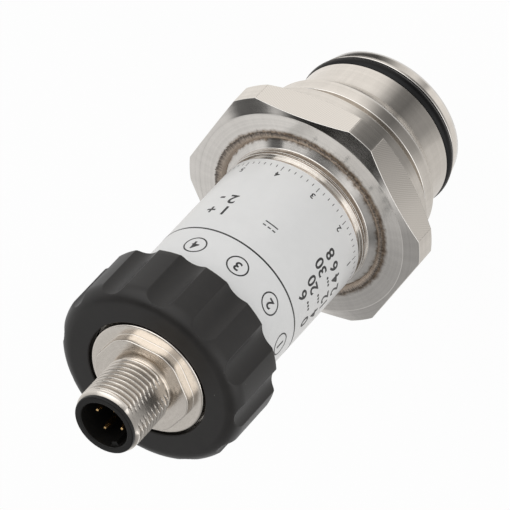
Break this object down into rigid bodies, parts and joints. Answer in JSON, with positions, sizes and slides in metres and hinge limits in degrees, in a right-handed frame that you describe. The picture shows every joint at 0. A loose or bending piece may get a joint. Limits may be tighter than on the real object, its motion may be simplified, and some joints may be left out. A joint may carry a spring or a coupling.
{
  "type": "pressure transmitter",
  "caption": "Flush-diaphragm pressure transmitter: steel process end with hex and sealing ring, round labelled case, fluted union ring and a small round plug connector.",
  "frame": {"origin": "centre of the flush process end, on the instrument's axis, at the foot of the lip", "axes": "+Z along the instrument's axis from the process end to the plug connector; a pair of hex flats faces +X and -X"},
  "size_m": [0.0408, 0.0446, 0.0899],
  "materials": {
    "steel": "turned and milled stainless steel",
    "membrane": "thin rolled foil with pressed waves",
    "weld": "heat-tinted weld",
    "header": "plated header",
    "chip": "polished silicon",
    "gold": "gold-plated",
    "nickel": "nickel-plated brass",
    "insert": "moulded black plastic",
    "union": "glass-filled black plastic with a fine grain",
    "label": "printed white film",
    "rubber": "moulded sealing rubber",
    "board": "coated circuit board",
    "carrier": "moulded natural plastic",
    "package": "moulded chip package",
    "capacitor": "drawn can",
    "flex": "polyimide film",
    "trimmer": "moulded blue plastic",
    "brass": "turned brass",
    "wire": "insulated wire",
    "washer": "stamped spring steel"
  },
  "bodies": {
    "transmitter": {"process_connection": "steel", "diaphragm": "membrane", "process_o_ring": "rubber", "sensor_header": "header", "seal_ball": "washer", "sensor_chip": "chip", "case_neck": "steel", "weld_bead": "weld", "case_tube": "steel", "label_sleeve": "label", "board_carrier": "carrier", "main_board": "board", "amplifier_chip": "package", "converter_chip": "package", "driver_chip": "package", "smoothing_capacitor": "capacitor", "terminal_board": "board", "sensor_flex": "flex", "zero_trimmer": "trimmer", "span_trimmer": "trimmer", "case_seal": "rubber", "connector_shell": "nickel", "connector_insert": "insert", "sensor_pin_1": "gold", "contact_pin_1": "gold", "lead_wire_1": "wire", "sensor_pin_2": "gold", "contact_pin_2": "gold", "lead_wire_2": "wire", "sensor_pin_3": "gold", "contact_pin_3": "gold", "lead_wire_3": "wire", "sensor_pin_4": "gold", "contact_pin_4": "gold", "lead_wire_4": "wire"},
    "union_ring": {"union_ring": "union"},
    "slip_washer": {"slip_washer": "washer"},
    "zero_screw": {"zero_trimmer_screw": "brass"},
    "span_screw": {"span_trimmer_screw": "brass"}
  },
  "joints": [
    {"name": "washer_lift", "type": "slide", "parent": "transmitter", "child": "slip_washer", "axis": [0, 0, 1], "range_m": [0, 0.00526]},
    {"name": "union_turn", "type": "hinge", "parent": "slip_washer", "child": "union_ring", "pos_m": [0, 0, 0.07], "axis": [0, 0, 1], "range_deg": [0, 1260]},
    {"name": "zero_turn", "type": "hinge", "parent": "transmitter", "child": "zero_screw", "pos_m": [-0.005, -0.005, 0.0695], "axis": [0, 0, 1], "range_deg": [-135, 135]},
    {"name": "span_turn", "type": "hinge", "parent": "transmitter", "child": "span_screw", "pos_m": [0.005, -0.005, 0.0695], "axis": [0, 0, 1], "range_deg": [-135, 135]}
  ],
  "couplings": [
    {"joint": "washer_lift", "follows": "union_turn", "m_per_rad": 0.00023873}
  ]
}
